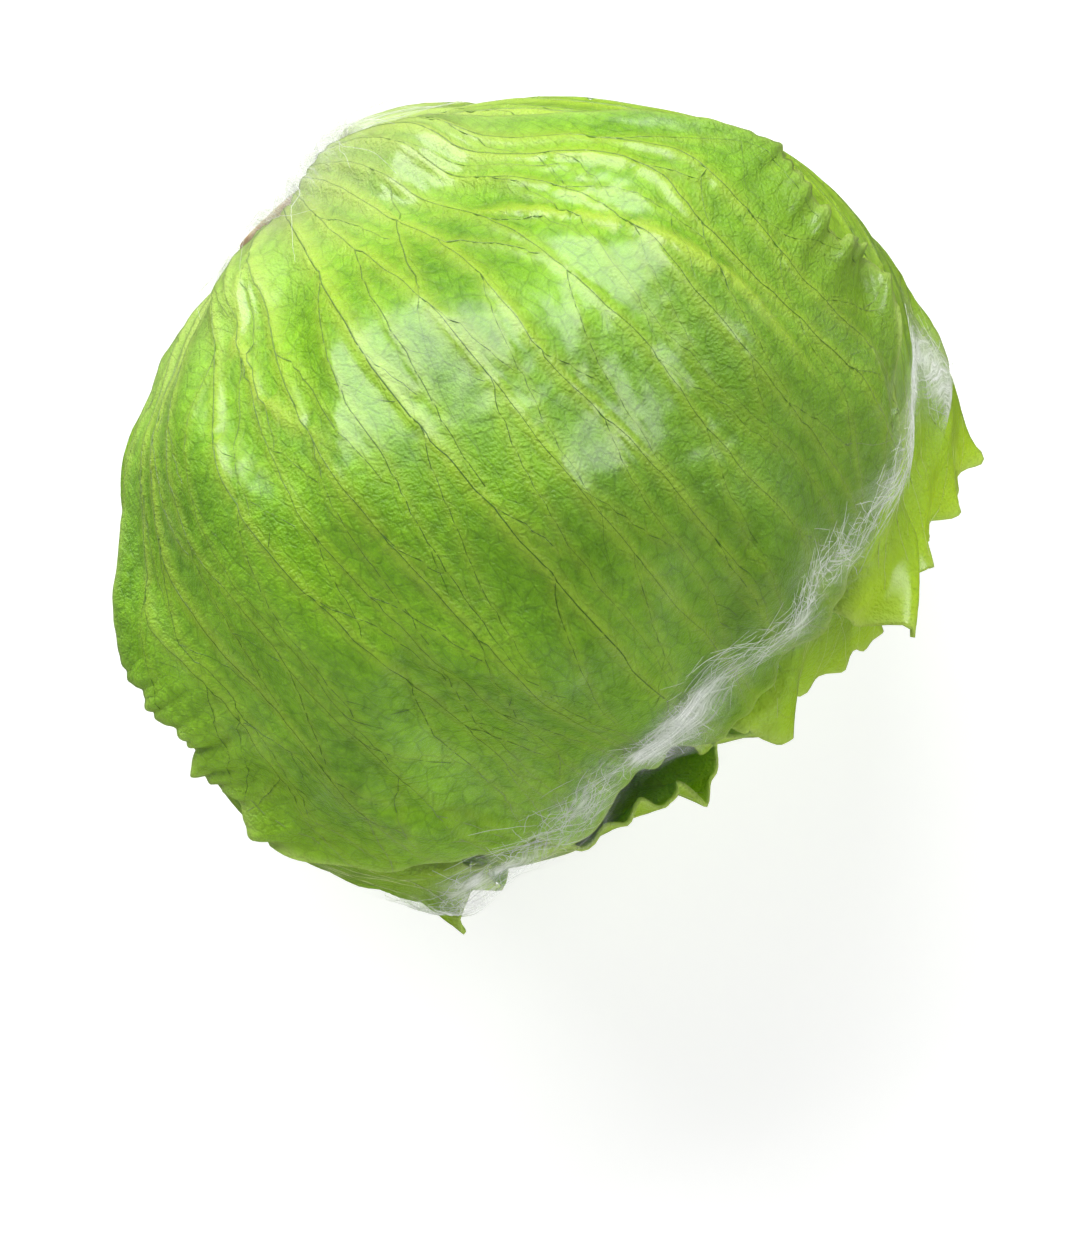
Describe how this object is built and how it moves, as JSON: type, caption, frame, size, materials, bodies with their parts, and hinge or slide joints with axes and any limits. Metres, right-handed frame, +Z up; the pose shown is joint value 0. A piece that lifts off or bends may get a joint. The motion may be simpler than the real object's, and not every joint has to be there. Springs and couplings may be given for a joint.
{
  "type": "wrapped head of iceberg lettuce",
  "caption": "Round crisp head of iceberg lettuce lying on its side, with separate overlapping leaves, a cut stem and a thin clear film wrap.",
  "frame": {"origin": "on the surface that the head rests on, at the bottom centre of its box", "axes": "+X from the cut stem to the crown, along the axis that the head grew on; +Y across the head; +Z up from the surface it rests on"},
  "size_m": [0.1468, 0.1712, 0.1571],
  "materials": {
    "leaf": "living leaf, moist and softly glossy, light green ribs on mid green blade",
    "inner_leaf": "pale yellow-green inner leaf, moist",
    "stem": "cut stem, cream with a browned edge, matte",
    "film": "thin clear film, white only where it creases"
  },
  "bodies": {
    "root": {"stem": "stem", "heart": "inner_leaf", "cap_leaf_under": "leaf", "cap_leaf_over": "leaf", "cap_leaf_side": "leaf", "head_leaf_left": "leaf", "head_leaf_right": "leaf", "wrapper_leaf_under": "leaf", "wrapper_leaf_left": "leaf", "wrapper_leaf_right": "leaf", "wrapper_leaf_top": "leaf", "clear_film": "film"}
  },
  "joints": []
}
